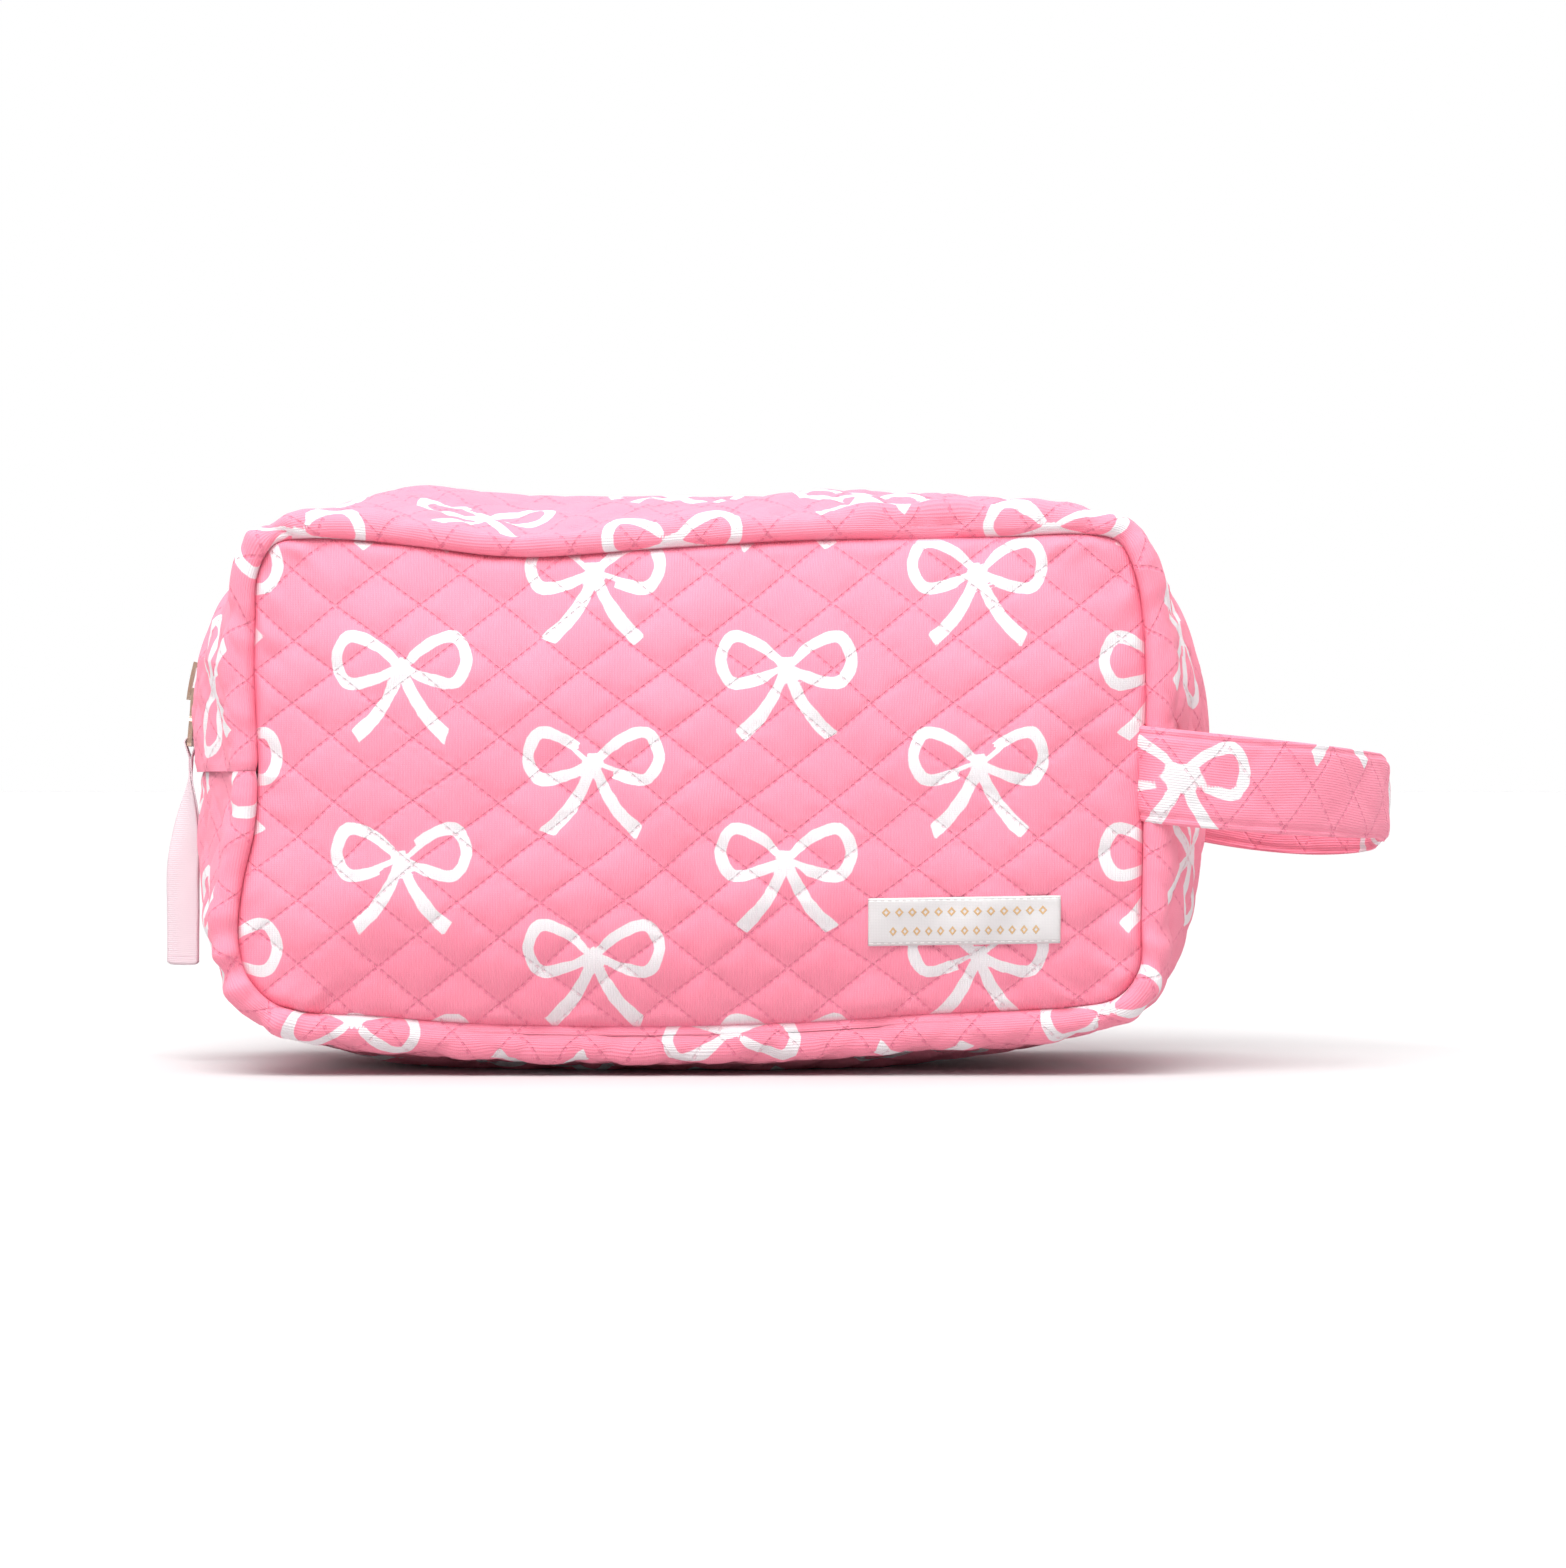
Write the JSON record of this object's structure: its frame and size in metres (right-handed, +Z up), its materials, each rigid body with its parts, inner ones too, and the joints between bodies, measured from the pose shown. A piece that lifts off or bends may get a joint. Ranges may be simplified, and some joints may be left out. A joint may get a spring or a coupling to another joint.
{
  "type": "quilted makeup bag",
  "caption": "Boxy soft quilted makeup bag with a zip over its top from end to end, a ribbon zip puller, and a flat wrist strap looped at one end.",
  "frame": {"origin": "middle of the flat patch of the base that rests on the table", "axes": "+X along the bag's length towards the wrist strap, +Y from the front panel to the back panel, +Z up"},
  "size_m": [0.3341, 0.1261, 0.158],
  "materials": {
    "quilted_cloth": "pink knitted jersey, quilted in diamonds, with a repeat of plain white bows",
    "lining": "plain pale pink woven lining",
    "zip_tape": "woven pink zip tape and seam binding",
    "zip_coil": "pink nylon coil",
    "zip_metal": "antique brass, lightly polished",
    "ribbon": "pale pink grosgrain ribbon",
    "label": "pale grey woven label"
  },
  "bodies": {
    "bag_body": {"front_panel": "quilted_cloth", "front_panel_lining": "lining", "front_seam_binding": "zip_tape", "back_panel": "quilted_cloth", "back_panel_lining": "lining", "back_seam_binding": "zip_tape", "base_strip_left": "quilted_cloth", "base_strip_right": "quilted_cloth", "base_lining": "lining", "front_zip_strip_left": "quilted_cloth", "front_strip_lining_left": "lining", "front_zip_tape_left": "zip_tape", "front_zip_coil_left": "zip_coil", "front_zip_strip_right": "quilted_cloth", "front_strip_lining_right": "lining", "front_zip_tape_right": "zip_tape", "front_zip_coil_right": "zip_coil", "back_zip_strip_left": "quilted_cloth", "back_strip_lining_left": "lining", "back_zip_tape_left": "zip_tape", "back_zip_coil_left": "zip_coil", "back_zip_strip_right": "quilted_cloth", "back_strip_lining_right": "lining", "back_zip_tape_right": "zip_tape", "back_zip_coil_right": "zip_coil", "left_end_seam_binding": "zip_tape", "right_end_seam_binding": "zip_tape", "top_stop_front": "zip_metal", "top_stop_back": "zip_metal", "bottom_stop": "zip_metal", "label": "label"},
    "front_lip": {"front_zip_strip_lip": "quilted_cloth", "front_strip_lining_lip": "lining", "front_zip_tape_lip": "zip_tape", "front_zip_coil_lip": "zip_coil"},
    "back_lip": {"back_zip_strip_lip": "quilted_cloth", "back_strip_lining_lip": "lining", "back_zip_tape_lip": "zip_tape", "back_zip_coil_lip": "zip_coil"},
    "zip_slider": {"slider_body": "zip_metal"},
    "zip_pull": {"pull_tab": "zip_metal"},
    "puller_ribbon": {"ribbon_puller": "ribbon"},
    "strap": {"wrist_strap": "quilted_cloth"}
  },
  "joints": [
    {"name": "front_lip_opens", "type": "hinge", "parent": "bag_body", "child": "front_lip", "pos_m": [0, -0.054, 0.1405], "axis": [1, 0, 0], "range_deg": [0, 75]},
    {"name": "back_lip_opens", "type": "hinge", "parent": "bag_body", "child": "back_lip", "pos_m": [0, 0.054, 0.1405], "axis": [-1, 0, 0], "range_deg": [0, 75]},
    {"name": "slider_travel", "type": "hinge", "parent": "bag_body", "child": "zip_slider", "pos_m": [-0.0715, 0, 0.092], "axis": [0, 1, 0], "range_deg": [0, 73]},
    {"name": "pull_swings", "type": "hinge", "parent": "zip_slider", "child": "zip_pull", "pos_m": [-0.13748, 0, 0.10245], "axis": [0, 1, 0], "range_deg": [0, 110]},
    {"name": "ribbon_swings", "type": "hinge", "parent": "zip_pull", "child": "puller_ribbon", "pos_m": [-0.13849, 0, 0.08798], "axis": [0, 1, 0], "range_deg": [0, 40]},
    {"name": "strap_bends", "type": "hinge", "parent": "bag_body", "child": "strap", "pos_m": [0.1192, 0, 0.08], "axis": [0, 1, 0], "range_deg": [-15, 15], "stiffness_Nm_per_rad": 0.06, "springref_deg": -1.72}
  ]
}
